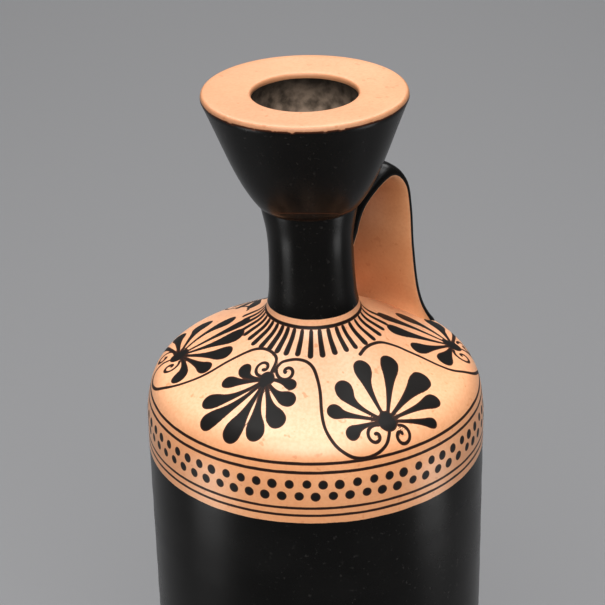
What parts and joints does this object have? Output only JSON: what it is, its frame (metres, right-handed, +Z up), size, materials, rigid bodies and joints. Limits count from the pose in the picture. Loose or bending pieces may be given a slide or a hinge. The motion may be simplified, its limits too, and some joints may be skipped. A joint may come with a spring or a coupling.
{
  "type": "lekythos",
  "caption": "Tall clay oil flask on a disc foot, with a sloping shoulder, narrow neck, deep bell mouth and one strap handle.",
  "frame": {"origin": "on the body's axis at the level of the resting ring under the foot", "axes": "+Z up along the body's axis, +Y towards the handle"},
  "size_m": [0.116, 0.116, 0.34],
  "materials": {
    "black_glaze": "satin-gloss black slip over orange fired clay"
  },
  "bodies": {
    "root": {"vase": "black_glaze"}
  },
  "joints": []
}
